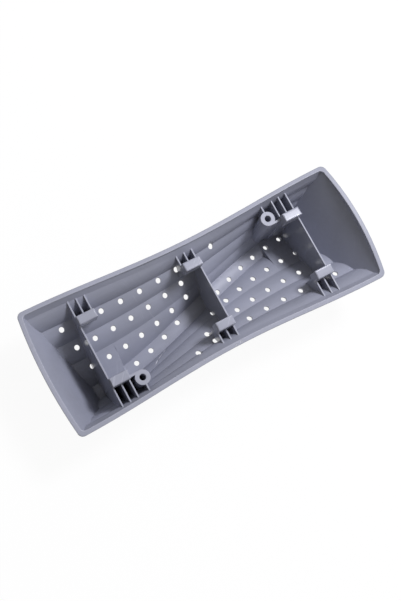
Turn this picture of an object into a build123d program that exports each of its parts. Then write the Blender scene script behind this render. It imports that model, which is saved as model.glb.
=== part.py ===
"""Drum paddle: the moulded lifter that is screwed to the inside of a washing machine drum.

One injection moulding, shown with its open side up, as it looks before it is fitted.
X runs along the paddle, Y across it, and +Z points out of the open side, towards the drum wall.
The origin is midway between the two screw bosses, level with their seats.
The whole shape repeats after a half turn about Z, apart from the middle rib.
"""

import os
from math import cos, hypot, pi, radians, sin, sqrt, tan

from build123d import *

# Rim, in millimetres
corner_half_length = 117.5  # centre to a rim corner, along X
corner_half_width = 44.3  # centre to a rim corner, along Y
waist_draw = 4.9  # how far each long side bows in at the middle
end_bulge = 3.3  # how far each end bows out at the middle
rim_corner_radius = 4.0
inner_corner_radius = 3.5  # corners inside the rim
corner_play = 0.1  # the rounded corners are cut this far clear of the straight walls
rim_width = 3.0
rim_thickness = 2.4
drum_radius = 240.0  # the rim and the pads seat on the drum's inside wall
rim_height = 4.2  # rim corners above the screw seats

# Shell
wall = 1.6
crest_drop = 52.0  # depth that the creases' shares refer to, below the rim corners
end_lean = 28.2  # lean of the end walls from upright, in degrees
terrace_bulge = 0.08  # rise of each terrace's arc, as a share of its chord
twist_station = 90.0  # the end sections stand this far from the middle
station_count = 13  # sections in the lofts
side_points = 6  # points on each half of a long side of the rim

# The strip below the rim, at the left section, the middle and the right section
strip_run = (2.8, 2.5, 1.5)  # how far it leans in
strip_drop = (4.6, 3.2, 4.6)  # its foot below the rim corners

# Terrace creases at the left section, the middle and the right section.
# Across: shares of the half width inside the rim. Down: shares of the crest drop.
crease_across = (
    (0.710, 0.798, 0.932),
    (0.419, 0.589, 0.837),
    (0.090, 0.336, 0.754),
    (-0.359, 0.143, 0.609),
)
crease_down = (
    (0.340, 0.257, 0.294),
    (0.569, 0.449, 0.542),
    (0.748, 0.612, 0.770),
    (0.981, 0.780, 0.981),
)

# Drain holes: rows that follow the terraces, each with its twin after a half turn.
# Count, first X, pitch, and shares across at the left section, the middle and the right section.
hole_diameter = 3.6
hole_rows = (
    (9, -94.1, 14.48, (0.627, 0.757, 0.981)),
    (8, -89.1, 13.81, (0.296, 0.536, 0.967)),
    (7, -84.4, 13.11, (-0.071, 0.308, 0.995)),
    (6, -80.8, 12.54, (-0.458, 0.136, 1.057)),
)

# Ribs, gussets and pads
rib_thickness = 1.0
outer_rib_x = 84.4
gusset_pitch = 5.85
pad_length = 13.0
pad_width = 6.2
pad_y = 22.5
pad_drop = 4.0  # pads reach this far below the rib tops
pad_edge_radius = 0.6
web_thickness = 1.6

# Screw bosses
boss_x = 64.2
boss_y = 28.1
boss_diameter = 10.2
bore_diameter = 4.4
bore_depth = 18.0

# Flat floor panels beside the outer ribs
panel_edge_x = 65.2
panel_depth = 8.0  # enough to reach into the wall below

# Worked-out places
drum_axis_z = rim_height - sqrt(drum_radius**2 - corner_half_width**2)
rim_top = drum_axis_z + drum_radius
cap_height = rim_top + wall  # the lofts end above the rim
floor_z = rim_height - crest_drop - wall * 4  # below the whole shell
reach = corner_half_length + end_bulge  # middle of an end rim, along X
end_radius = (corner_half_width**2 + end_bulge**2) / (2 * end_bulge)


def half_width(x):
    """Outer half width of the rim at x: one cosine wave, narrowest at the waist."""
    return corner_half_width - waist_draw * (1 + cos(pi * x / corner_half_length)) / 2


def inner_half_width(x):
    """Half width inside the rim at x."""
    return half_width(x) - rim_width


def along(left, middle, right, x):
    """Smooth run through values at -twist_station, 0 and +twist_station, level beyond those."""
    sway = (right - left) / 2
    swell = (right + left) / 2 - middle
    turn = pi / 2 * max(-1, min(1, x / twist_station))
    return middle + swell * (1 - cos(2 * turn)) / 2 + sway * sin(turn)


def crease_point(row, x):
    """(y, z) of a crease on the +Y side at x. Row 0 is the foot of the strip below the rim."""
    if row == 0:
        return inner_half_width(x) - along(*strip_run, x), rim_height - along(*strip_drop, x)
    y = along(*crease_across[row - 1], x) * inner_half_width(x)
    z = rim_height - along(*crease_down[row - 1], x) * crest_drop
    return y, z


def section_points(x):
    """Corners of the shell's inside at x, from the +Y rim down and round to the -Y rim."""
    rows = range(len(crease_across) + 1)
    near = [crease_point(row, x) for row in rows]
    far = [(-y, z) for y, z in (crease_point(row, -x) for row in reversed(rows))]
    edge = inner_half_width(x)
    rim_near = [(edge, cap_height), (edge, rim_height)]
    rim_far = [(-edge, rim_height), (-edge, cap_height)]
    return [*rim_near, *near, *far, *rim_far]


def outward(start, end):
    """Unit normal of a section's side, pointing out of the shell."""
    size = hypot(end[0] - start[0], end[1] - start[1])
    return (start[1] - end[1]) / size, (end[0] - start[0]) / size


def offset_points(points, distance):
    """The same corners moved outwards by distance, keeping every side parallel."""
    normals = [outward(start, end) for start, end in zip(points, points[1:])]
    moved = []
    for point, first, second in zip(points, [normals[0], *normals], [*normals, normals[-1]]):
        share = distance / (1 + first[0] * second[0] + first[1] * second[1])
        y = point[0] + (first[0] + second[0]) * share
        z = point[1] + (first[1] + second[1]) * share
        moved.append((y, z))
    return moved


def terrace_middle(start, end):
    """Middle of a terrace's arc, which swells towards the inside of the shell."""
    out = outward(start, end)
    rise = terrace_bulge * hypot(end[0] - start[0], end[1] - start[1])
    return (start[0] + end[0]) / 2 - out[0] * rise, (start[1] + end[1]) / 2 - out[1] * rise


def section(x, offset):
    """Closed section at x: straight rim sides and strips, with an arc for each terrace between."""
    points = offset_points(section_points(x), offset)
    strips = 2  # straight sides at each end of the run
    with BuildSketch(Plane.YZ.offset(x)) as sketch:
        with BuildLine():
            for side, (start, end) in enumerate(zip(points, points[1:])):
                if strips <= side < len(points) - 1 - strips:
                    ThreePointArc(start, terrace_middle(start, end), end)
                else:
                    Line(start, end)
            Line(points[-1], points[0])
        make_face()
    return sketch.sketch


def channel(offset):
    """The twisted, terraced trough, longer than the paddle at both ends."""
    span = 2 * (reach + wall)
    stations = [span * (k / (station_count - 1) - 0.5) for k in range(station_count)]
    with BuildPart() as trough:
        loft(sections=[section(x, offset) for x in stations])
    return trough.part


def end_bound(offset):
    """Space on the near side of the +X end wall: a big round bowl with a sloping side."""
    axis_x = reach - end_radius
    top = reach - rim_width + offset
    foot = top - (rim_height - floor_z) * tan(radians(end_lean))
    with BuildPart() as bowl:
        with BuildSketch(Plane.XZ):
            with BuildLine():
                Polyline((foot, floor_z), (axis_x, floor_z), (axis_x, cap_height), (top, cap_height))
                Polyline((top, cap_height), (top, rim_height), (foot, floor_z))
            make_face()
        revolve(axis=Axis((axis_x, 0, 0), (0, 0, 1)))
    return bowl.part


def drum_space(radius):
    """Inside of a drum of this radius, about the drum's own axis."""
    with BuildPart() as space:
        with Locations((0, 0, drum_axis_z)):
            Cylinder(radius, 2 * (reach + wall), rotation=(0, 90, 0))
    return space.part


def rim_block(inset, corner_radius):
    """Upright block with the rim's outline moved in by inset and its corners rounded."""
    corner_y = corner_half_width - inset
    corner_x = reach - end_radius + sqrt((end_radius - inset) ** 2 - corner_y**2)
    stations = [corner_x * (k / side_points - 1) for k in range(2 * side_points + 1)]
    side = [(x, half_width(x) - inset) for x in stations[1:-1]]
    with BuildPart() as block:
        with BuildSketch(Plane.XY.offset(floor_z)):
            with BuildLine():
                for turn in (1, -1):
                    ends = [(-turn * corner_x, turn * corner_y), (turn * corner_x, turn * corner_y)]
                    Spline(ends[0], *[(turn * x, turn * y) for x, y in side], ends[1])
                    ThreePointArc(ends[1], (turn * (reach - inset), 0), (turn * corner_x, -turn * corner_y))
            make_face()
        extrude(amount=cap_height - floor_z)
        fillet(block.edges().filter_by(Axis.Z), corner_radius)
    return block.part


def hollow(offset):
    """Trough closed by both end walls. Offset 0 is the inside of the shell, the wall its outside."""
    end = end_bound(offset / cos(radians(end_lean)))
    with BuildPart() as body:
        add(channel(offset))
        add(end, mode=Mode.INTERSECT)
        add(end, rotation=(0, 0, 180), mode=Mode.INTERSECT)
        add(rim_block(rim_width - offset - corner_play, inner_corner_radius + offset), mode=Mode.INTERSECT)
    return body.part


def hole_places():
    """Plan places of all drain holes."""
    places = []
    for count, first_x, pitch, shares in hole_rows:
        for k in range(count):
            x = first_x + k * pitch
            y = along(*shares, x) * inner_half_width(x)
            places += [(x, y), (-x, -y)]
    return places


def panel_section(x, height):
    """Flat strip at x from the third crease to the crest edge, with this height above the flat."""
    start = crease_point(3, x)
    far_y, far_z = crease_point(4, -x)
    with BuildSketch(Plane.YZ.offset(x)) as sketch:
        with BuildLine():
            end = (-far_y, far_z)
            Polyline(start, end, (end[0], end[1] + height), (start[0], start[1] + height), close=True)
        make_face()
    return sketch.sketch


def floor_panel(height):
    """Block on or under the flat of the left floor panel."""
    with BuildPart() as block:
        loft(sections=[panel_section(x, height) for x in (-outer_rib_x, -panel_edge_x)], ruled=True)
    return block.part


inside = hollow(0)
outside = hollow(wall)
drum = drum_space(drum_radius)
rim_underside = drum_space(drum_radius - rim_thickness)
panel_fill = floor_panel(-panel_depth)
panel_clearing = floor_panel(panel_depth)
group_x = outer_rib_x - gusset_pitch

# Rim: a curved band that lies on the drum, with its lip a little proud of the shell
with BuildPart() as rim:
    add(rim_block(0, rim_corner_radius))
    add(drum, mode=Mode.INTERSECT)
    add(rim_underside, mode=Mode.SUBTRACT)

# Flat floor panels, which bridge the crease beside each outer rib
with BuildPart() as panels:
    add(panel_fill)
    add(panel_fill, rotation=(0, 0, 180))
    add(outside, mode=Mode.INTERSECT)

# Ribs, gussets, webs and boss posts stand on the floor, all level with the screw seats
with BuildPart() as ribs:
    with BuildSketch():
        with Locations((-outer_rib_x, 0), (gusset_pitch, 0), (outer_rib_x, 0)):
            Rectangle(rib_thickness, 2 * corner_half_width)
        gusset_length = corner_half_width - pad_y
        gusset_y = pad_y + gusset_length / 2
        for turn in (1, -1):
            for middle_x in (-group_x, 0, group_x):
                with Locations((middle_x, turn * pad_y)):
                    Rectangle(pad_length, web_thickness)
                with Locations(*[(middle_x + k * gusset_pitch, turn * gusset_y) for k in (-1, 0, 1)]):
                    Rectangle(rib_thickness, gusset_length)
            with Locations((turn * boss_x, turn * boss_y)):
                Circle(boss_diameter / 2)
            with Locations((turn * boss_x, turn * (boss_y + corner_half_width) / 2)):
                Rectangle(rib_thickness, corner_half_width - boss_y)
            link_y = boss_y - boss_diameter / 2 + web_thickness / 2
            with Locations((turn * (boss_x + group_x) / 2, turn * link_y)):
                Rectangle(group_x - boss_x, web_thickness)
    extrude(amount=floor_z)
    add(outside, mode=Mode.INTERSECT)

# Pads that bear on the drum, one on each group of gussets
with BuildPart() as pads:
    with BuildSketch(Plane.XY.offset(-pad_drop)):
        with Locations(*[(x, y) for x in (-group_x, 0, group_x) for y in (-pad_y, pad_y)]):
            Rectangle(pad_length, pad_width)
    extrude(amount=cap_height + pad_drop)
    add(drum, mode=Mode.INTERSECT)
    fillet(pads.faces().filter_by(GeomType.CYLINDER).edges(), pad_edge_radius)

# The moulding
with BuildPart() as drum_paddle:
    add(outside)
    add(drum, mode=Mode.INTERSECT)
    add(rim.part)
    add(inside, mode=Mode.SUBTRACT)
    add(panel_clearing, mode=Mode.SUBTRACT)
    add(panel_clearing, rotation=(0, 0, 180), mode=Mode.SUBTRACT)
    add(panels.part)
    with Locations(*hole_places()):
        Hole(hole_diameter / 2)
    add(ribs.part)
    add(pads.part)
    with Locations((boss_x, boss_y), (-boss_x, -boss_y)):
        Hole(bore_diameter / 2, depth=bore_depth)

drum_paddle.part.label = "drum_paddle"
os.makedirs("parts", exist_ok=True)
export_step(drum_paddle.part, "parts/drum_paddle.step")
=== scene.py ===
"""Studio view of the drum paddle, seen from above into its open side."""

import bpy
import numpy as np
from mathutils import Matrix, Vector


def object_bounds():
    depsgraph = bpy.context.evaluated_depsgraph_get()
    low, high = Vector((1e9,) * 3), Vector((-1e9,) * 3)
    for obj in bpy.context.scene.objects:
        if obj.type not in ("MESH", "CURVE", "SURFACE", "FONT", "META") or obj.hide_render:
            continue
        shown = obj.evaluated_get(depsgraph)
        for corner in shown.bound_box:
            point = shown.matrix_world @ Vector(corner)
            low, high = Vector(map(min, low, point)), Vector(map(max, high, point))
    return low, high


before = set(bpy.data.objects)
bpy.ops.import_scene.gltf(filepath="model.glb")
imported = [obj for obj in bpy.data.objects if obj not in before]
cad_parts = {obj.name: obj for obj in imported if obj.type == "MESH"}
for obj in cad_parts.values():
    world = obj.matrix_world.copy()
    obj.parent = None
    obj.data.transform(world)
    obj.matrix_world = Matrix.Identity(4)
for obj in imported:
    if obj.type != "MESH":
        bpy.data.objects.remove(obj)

cad_low, cad_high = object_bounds()

MM = 0.001

# Camera, in metres in the part's frame: the photograph's place, aim and upright direction
CAMERA_PLACE = Vector((-0.17030, -0.07057, 0.60441))
CAMERA_AIM = Vector((-0.00576, -0.00093, 0.0))
CAMERA_UP = Vector((0.43970, 0.87077, 0.22004))
LENS_MM = 56.905
SENSOR_MM = 36.0

# Lights: azimuth from +X towards +Y and elevation in degrees, width and height in metres, power in watts
LIGHTS = {
    "key_light": (20, 62, 0.28, 0.26, 12.0),
    "near_fill": (330, 60, 0.70, 0.70, 1.8),
    "far_fill": (80, 50, 0.70, 0.70, 1.4),
    "low_fill": (300, 22, 0.70, 0.70, 2.0),
}
LIGHT_DISTANCE = 1.2
SKY_STRENGTH = 0.27

# Floor, in metres, and the share of its white that the lamps don't give
FLOOR_HALF_SIDE = 3.0
FLOOR_GAP = 0.2 * MM
FLOOR_GLOW = 0.94

# Colours as sRGB hex
PIGMENT_DARK = "9194A1"
PIGMENT_LIGHT = "979AA9"
FLOW_GREY = "9C9FAD"
# Pale grey of the scratches, and of the outer edges, where it is partly a painted highlight
RUBBED_AND_HIGHLIGHT_GREY = "C0C2CC"
STRESS_WHITE = "E2E3EA"
FLOOR_WHITE = "FAFAFA"
SKY_WHITE = "FFFAEC"
LAMP_WHITE = "F7F7FF"
PURE_WHITE = "FFFFFF"

# How much each mark covers the pigment where it is fullest
FLOW_COVER = 0.35
SCRATCH_COVER = 0.18
GOUGE_COVER = 0.75
EDGE_COVER = 0.45

# Sizes of the patterns
CLOUD_SIZE = 26 * MM
FLOW_LENGTH = 80 * MM
FLOW_WIDTH = 2.4 * MM
GRAIN_SIZE = 0.8 * MM  # coarser than the real grain, so that it shows
SCRATCH_LENGTH = 18 * MM
SCRATCH_WIDTH = 0.5 * MM
SCRATCH_TURN = (0.7, 0.45, 0.3)  # radians about X, Y and Z, slanted to every face
SCRATCH_PATCH = 38 * MM

# Noise levels between which a pattern goes from nothing to its fullest
CLOUD_LEVELS = (0.3, 0.7)
FLOW_LEVELS = (0.45, 0.75)
SCRATCH_LEVELS = (0.68, 0.78)
PATCH_LEVELS = (0.52, 0.66)

# Depth and strength of the relief
GOUGE_RELIEF = (0.3 * MM, 1.0)
FLOW_RELIEF = (0.06 * MM, 0.5)
GRAIN_RELIEF = (0.012 * MM, 0.5)

# Gouges in the used part: from one point on its skin to another, and half the width, in millimetres
GOUGES = (
    ((-46.5, -22.5, -33.2), (-42.4, -19.6, -35.3), 0.8),
    ((-42.8, -19.9, -35.1), (-37.0, -17.2, -36.6), 0.6),
    ((-37.5, -17.5, -36.4), (-33.5, -15.5, -38.1), 0.8),
    ((2.4, -39.0, 5.2), (4.4, -36.8, 5.5), 0.4),
    ((3.4, -38.9, 5.2), (5.0, -38.0, 5.3), 0.3),
    ((-1.8, -39.1, 5.2), (0.8, -38.0, 5.3), 0.3),
    ((-25.0, -37.0, 5.5), (-23.6, -37.4, 5.4), 0.3),
)
BLOB_FADE = (1.0, 0.5)  # shares of the way out from an ellipsoid's middle where its mask starts and is full

# Edges: their radius in the hollow, and on the rim, the pads and the bore mouths
HOLLOW_EDGE = 0.45 * MM
EXPOSED_EDGE = 1.0 * MM
HIGH_LEVELS = (0.8 * MM, 2.0 * MM)  # heights over the rib tops, which only the rim and the pads reach
BOSS_SEATS = ((64.2, 28.1, 0), (-64.2, -28.1, 0))  # the middle of each seat, in millimetres
MOUTH_REACH = 4.4 * MM
EDGE_TURNS = (0.985, 0.80)  # cosines from the flat to the rounded normal where an edge starts and is full
# Open outer edges are painted pale, partly as rubbing and partly as a highlight
OPEN_REACH = 1.6 * MM  # how far an edge has to be open around it to rub
OPEN_LEVELS = (0.72, 0.95)

# Pads lie within these distances of the middle, and the rim lies outside them
PAD_LIMITS = {"X": 105 * MM, "Y": 33 * MM}

# Sheen of moulded polypropylene
SATIN_ROUGHNESS = (0.43, 0.51)
RIB_ROUGHNESS = 0.20
PAD_ROUGHNESS = 0.25
SCRATCH_DULLING = 0.15
RIB_FACING = (0.94, 0.985)  # shares of the normal along X where the gloss of the ribs starts and is full
POLYPROPYLENE_IOR = 1.49


def linear(code):
    """sRGB hex to linear red, green, blue and alpha."""
    part = np.array([int(code[k:k + 2], 16) for k in (0, 2, 4)]) / 255
    low = part / 12.92
    high = ((part + 0.055) / 1.055) ** 2.4
    return (*np.where(part <= 0.04045, low, high).tolist(), 1.0)


def add_node(tree, kind, inputs=None, **fields):
    """Adds one node and returns its outputs. Each input gets a value, or a link if it is given an output."""
    node = tree.nodes.new(kind)
    for name, value in fields.items():
        setattr(node, name, value)
    for name, value in (inputs or {}).items():
        if isinstance(value, bpy.types.NodeSocket):
            tree.links.new(value, node.inputs[name])
        else:
            node.inputs[name].default_value = value
    return node.outputs


def span(levels, ends=(0.0, 1.0)):
    """Inputs of a map from one pair of levels to another."""
    return dict(zip(("From Min", "From Max", "To Min", "To Max"), (*levels, *ends)))


def new_material(name):
    """Empty node material, and its node tree."""
    material = bpy.data.materials.new(name)
    material.use_nodes = True
    material.node_tree.nodes.clear()
    return material, material.node_tree


def largest(tree, masks):
    """The largest of several masks at each place."""
    top = masks[0]
    for mask in masks[1:]:
        top = add_node(tree, "ShaderNodeMath", {0: top, 1: mask}, operation="MAXIMUM")[0]
    return top


def blob(tree, place, middle, half_size, turn=(0, 0, 0)):
    """Mask of an ellipsoid: full in its inner half, falling to nothing at its skin."""
    local = add_node(tree, "ShaderNodeMapping", {
        "Vector": place, "Location": middle, "Rotation": turn, "Scale": half_size,
    }, vector_type="TEXTURE")[0]
    reach = add_node(tree, "ShaderNodeVectorMath", {0: local}, operation="LENGTH")["Value"]
    return add_node(tree, "ShaderNodeMapRange", {"Value": reach, **span(BLOB_FADE)})[0]


def gouge(tree, place, start, end, half_width):
    """Mask of one gouge: a thin ellipsoid between two points, all in millimetres."""
    start, end, half_width = Vector(start) * MM, Vector(end) * MM, half_width * MM
    turn = Vector((1, 0, 0)).rotation_difference(end - start).to_euler()
    half_size = ((end - start).length / 2, half_width, half_width)
    return blob(tree, place, (start + end) / 2, half_size, turn)


def flow_lines(tree, place):
    """Lines that the melt leaves: noise drawn out along X."""
    run = add_node(tree, "ShaderNodeMapping", {
        "Vector": place, "Scale": (1 / FLOW_LENGTH, 1 / FLOW_WIDTH, 1 / FLOW_WIDTH)})[0]
    return add_node(tree, "ShaderNodeTexNoise", {
        "Vector": run, "Scale": 1.0, "Detail": 2.0, "Distortion": 0.3})[0]


def fine_scratches(tree, place):
    """Mask of scratches: thin slanted leaves of noise, which cut every face in short lines, in patches."""
    aside = add_node(tree, "ShaderNodeMapping", {
        "Vector": place, "Rotation": SCRATCH_TURN, "Scale": (SCRATCH_LENGTH, SCRATCH_LENGTH, SCRATCH_WIDTH),
    }, vector_type="TEXTURE")[0]
    leaves = add_node(tree, "ShaderNodeTexNoise", {"Vector": aside, "Scale": 1.0, "Detail": 0.0})[0]
    lines = add_node(tree, "ShaderNodeMapRange", {"Value": leaves, **span(SCRATCH_LEVELS)})[0]
    patches = add_node(tree, "ShaderNodeTexNoise", {
        "Vector": place, "Scale": 1 / SCRATCH_PATCH, "Detail": 1.0})[0]
    sparse = add_node(tree, "ShaderNodeMapRange", {"Value": patches, **span(PATCH_LEVELS)})[0]
    return add_node(tree, "ShaderNodeMath", {0: lines, 1: sparse}, operation="MULTIPLY")[0]


def rim_and_pads(tree, place):
    """Mask of what stands above the rib tops."""
    height = add_node(tree, "ShaderNodeSeparateXYZ", {0: place})["Z"]
    return add_node(tree, "ShaderNodeMapRange", {"Value": height, **span(HIGH_LEVELS)})[0]


def pads_alone(tree, place, high):
    """Mask of the pads, which stand high but inside the rim."""
    distance = add_node(tree, "ShaderNodeVectorMath", {0: place}, operation="ABSOLUTE")[0]
    apart = add_node(tree, "ShaderNodeSeparateXYZ", {0: distance})
    pads = high
    for axis, limit in PAD_LIMITS.items():
        inside = add_node(tree, "ShaderNodeMath", {0: apart[axis], 1: limit}, operation="LESS_THAN")[0]
        pads = add_node(tree, "ShaderNodeMath", {0: pads, 1: inside}, operation="MULTIPLY")[0]
    return pads


def rounded_edges(tree, place, high):
    """Normal that rounds the edges off, most on the rim, the pads and the bore mouths."""
    mouths = [blob(tree, place, Vector(seat) * MM, [MOUTH_REACH] * 3) for seat in BOSS_SEATS]
    exposed = largest(tree, [high, *mouths])
    radius = add_node(tree, "ShaderNodeMapRange", {
        "Value": exposed, "To Min": HOLLOW_EDGE, "To Max": EXPOSED_EDGE})[0]
    return add_node(tree, "ShaderNodeBevel", {"Radius": radius}, samples=8)[0]


def rubbed_and_highlit_edges(tree, rounded):
    """Mask of the outer edges: the rounded normal leaves the flat one, and the space around is open. Mixed
    in as a pale colour, it is partly rubbing and partly a painted highlight along the rounded edges.
    """
    flat = add_node(tree, "ShaderNodeNewGeometry")["Normal"]
    turn = add_node(tree, "ShaderNodeVectorMath", {0: rounded, 1: flat}, operation="DOT_PRODUCT")["Value"]
    edges = add_node(tree, "ShaderNodeMapRange", {"Value": turn, **span(EDGE_TURNS)})[0]
    opening = add_node(tree, "ShaderNodeAmbientOcclusion", {"Distance": OPEN_REACH}, samples=6)["AO"]
    outer = add_node(tree, "ShaderNodeMapRange", {"Value": opening, **span(OPEN_LEVELS)})[0]
    return add_node(tree, "ShaderNodeMath", {0: edges, 1: outer}, operation="MULTIPLY")[0]


def marked_pigment(tree, clouds, marks):
    """Cloudy pigment with marks over it. Each mark is a mask, how much it covers, and its colour."""
    shade = add_node(tree, "ShaderNodeMapRange", {"Value": clouds, **span(CLOUD_LEVELS)})[0]
    colour = add_node(tree, "ShaderNodeMixRGB", {
        "Fac": shade, "Color1": linear(PIGMENT_DARK), "Color2": linear(PIGMENT_LIGHT)})[0]
    for mask, cover, tone in marks:
        share = add_node(tree, "ShaderNodeMath", {0: mask, 1: cover}, operation="MULTIPLY")[0]
        colour = add_node(tree, "ShaderNodeMixRGB", {
            "Fac": share, "Color1": colour, "Color2": linear(tone)})[0]
    return colour


def sheen(tree, clouds, normal, pads, scratches):
    """Roughness: satin, a little duller in the pale clouds and the scratches.

    The ribs, which face along X, and the pads are glossier.
    """
    satin = add_node(tree, "ShaderNodeMapRange", {
        "Value": clouds, **span(CLOUD_LEVELS, SATIN_ROUGHNESS)})[0]
    facing = add_node(tree, "ShaderNodeSeparateXYZ", {0: normal})["X"]
    along = add_node(tree, "ShaderNodeMath", {0: facing}, operation="ABSOLUTE")[0]
    skin = add_node(tree, "ShaderNodeMapRange", {
        "Value": along, **span(RIB_FACING, (satin, RIB_ROUGHNESS))})[0]
    worn = add_node(tree, "ShaderNodeMapRange", {"Value": pads, "To Min": skin, "To Max": PAD_ROUGHNESS})[0]
    return add_node(tree, "ShaderNodeMath", {
        0: scratches, 1: SCRATCH_DULLING, 2: worn}, operation="MULTIPLY_ADD")[0]


def moulded_polypropylene():
    """Grey polypropylene from a steel mould.

    The mould leaves a satin skin, glossier on the thin ribs, whose slots are polished so that they let go.
    The pads shine where they rub on the drum. Small round edges catch the light in thin bright lines.
    The melt leaves faint lines along the terraces, and the pigment is a little cloudy.
    Use leaves fine scratches and a few gouges. The pale edges are partly rubbing and partly a painted
    highlight.
    """
    material, tree = new_material("moulded_polypropylene")
    coordinates = add_node(tree, "ShaderNodeTexCoord")
    place = coordinates["Object"]

    # Patterns in the plastic
    clouds = add_node(tree, "ShaderNodeTexNoise", {
        "Vector": place, "Scale": 1 / CLOUD_SIZE, "Detail": 3.0})[0]
    grain = add_node(tree, "ShaderNodeTexNoise", {
        "Vector": place, "Scale": 1 / GRAIN_SIZE, "Detail": 2.0})[0]
    flow = flow_lines(tree, place)
    streaks = add_node(tree, "ShaderNodeMapRange", {"Value": flow, **span(FLOW_LEVELS)})[0]

    # Wear, and the rounded edges, which are painted pale partly as rubbing and partly as a highlight
    scratches = fine_scratches(tree, place)
    gouges = largest(tree, [gouge(tree, place, *row) for row in GOUGES])
    high = rim_and_pads(tree, place)
    rounded = rounded_edges(tree, place, high)
    rubbed_and_highlit = rubbed_and_highlit_edges(tree, rounded)

    colour = marked_pigment(tree, clouds, (
        (streaks, FLOW_COVER, FLOW_GREY),
        (scratches, SCRATCH_COVER, RUBBED_AND_HIGHLIGHT_GREY),
        (gouges, GOUGE_COVER, STRESS_WHITE),
        # Pale outer edges: partly rubbing, partly a painted highlight
        (rubbed_and_highlit, EDGE_COVER, RUBBED_AND_HIGHLIGHT_GREY),
    ))
    roughness = sheen(tree, clouds, coordinates["Normal"], pads_alone(tree, place, high), scratches)

    # Relief on the rounded edges: gouges are cut in, flow lines and grain stand out
    normal = rounded
    for height, (depth, strength), cut_in in (
            (gouges, GOUGE_RELIEF, True), (flow, FLOW_RELIEF, False), (grain, GRAIN_RELIEF, False)):
        normal = add_node(tree, "ShaderNodeBump", {
            "Height": height, "Normal": normal, "Strength": strength, "Distance": depth}, invert=cut_in)[0]

    shader = add_node(tree, "ShaderNodeBsdfPrincipled", {
        "Base Color": colour, "Roughness": roughness, "Normal": normal, "IOR": POLYPROPYLENE_IOR})[0]
    add_node(tree, "ShaderNodeOutputMaterial", {"Surface": shader})
    return material


def white_paper():
    """Matt white paper. Most of its white is its own to the eye, and the rest keeps the shadow."""
    material, tree = new_material("white_paper")
    path = add_node(tree, "ShaderNodeLightPath")
    seen = largest(tree, [path[ray] for ray in ("Is Camera Ray", "Is Glossy Ray", "Is Transmission Ray")])
    share = add_node(tree, "ShaderNodeMath", {0: seen, 1: FLOOR_GLOW}, operation="MULTIPLY")[0]
    paper = add_node(tree, "ShaderNodeBsdfDiffuse", {"Color": linear(FLOOR_WHITE)})[0]
    glow = add_node(tree, "ShaderNodeEmission", {"Color": linear(PURE_WHITE), "Strength": 1.0})[0]
    mix = add_node(tree, "ShaderNodeMixShader", {0: share, 1: paper, 2: glow})[0]
    add_node(tree, "ShaderNodeOutputMaterial", {"Surface": mix})
    return material


def pale_floor():
    """Square white sheet just under the part."""
    level = cad_low[2] - FLOOR_GAP
    corners = FLOOR_HALF_SIDE * np.array([(-1, -1, 0), (1, -1, 0), (1, 1, 0), (-1, 1, 0)]) + (0, 0, level)
    mesh = bpy.data.meshes.new("floor")
    mesh.from_pydata(corners.tolist(), [], [(0, 1, 2, 3)])
    mesh.materials.append(white_paper())
    floor = bpy.data.objects.new("floor", mesh)
    bpy.context.scene.collection.objects.link(floor)


def look_at(place, aim, up):
    """Matrix of something at place that looks at aim with that upright direction."""
    back = (place - aim).normalized()
    right = up.cross(back).normalized()
    rotation = Matrix((right, back.cross(right), back)).transposed().to_4x4()
    return Matrix.Translation(place) @ rotation


def softbox(name, azimuth, elevation, width, height, power):
    """Rectangular area light on a big sphere about the part, turned towards its middle."""
    turn, rise = np.radians((azimuth, elevation))
    towards = np.array((np.cos(rise) * np.cos(turn), np.cos(rise) * np.sin(turn), np.sin(rise)))
    data = bpy.data.lights.new(name, "AREA")
    data.shape = "RECTANGLE"
    data.size = width
    data.size_y = height
    data.energy = power
    data.color = linear(LAMP_WHITE)[:3]
    light = bpy.data.objects.new(name, data)
    light.matrix_world = look_at(Vector(LIGHT_DISTANCE * towards), Vector((0, 0, 0)), Vector((0, 0, 1)))
    bpy.context.scene.collection.objects.link(light)


def studio_world():
    """Dim sky that lights the part, with a backdrop that is white to the camera alone."""
    world = bpy.data.worlds.new("studio")
    world.use_nodes = True
    tree = world.node_tree
    tree.nodes.clear()
    sky = add_node(tree, "ShaderNodeBackground", {"Color": linear(SKY_WHITE), "Strength": SKY_STRENGTH})[0]
    backdrop = add_node(tree, "ShaderNodeBackground", {"Color": linear(PURE_WHITE), "Strength": 1.0})[0]
    seen = add_node(tree, "ShaderNodeLightPath")["Is Camera Ray"]
    shown = add_node(tree, "ShaderNodeMixShader", {0: seen, 1: sky, 2: backdrop})[0]
    add_node(tree, "ShaderNodeOutputWorld", {"Surface": shown})
    bpy.context.scene.world = world


def studio_camera():
    """Camera with the photograph's place, aim and lens."""
    data = bpy.data.cameras.new("camera")
    data.sensor_fit = "AUTO"
    data.sensor_width = SENSOR_MM
    data.lens = LENS_MM
    camera = bpy.data.objects.new("camera", data)
    camera.matrix_world = look_at(CAMERA_PLACE, CAMERA_AIM, CAMERA_UP)
    bpy.context.scene.collection.objects.link(camera)
    bpy.context.scene.camera = camera


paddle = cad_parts["drum_paddle"]
paddle.data.materials.clear()
paddle.data.materials.append(moulded_polypropylene())

pale_floor()
for lamp, setting in LIGHTS.items():
    softbox(lamp, *setting)
studio_world()
studio_camera()
bpy.context.scene.view_settings.view_transform = "Standard"
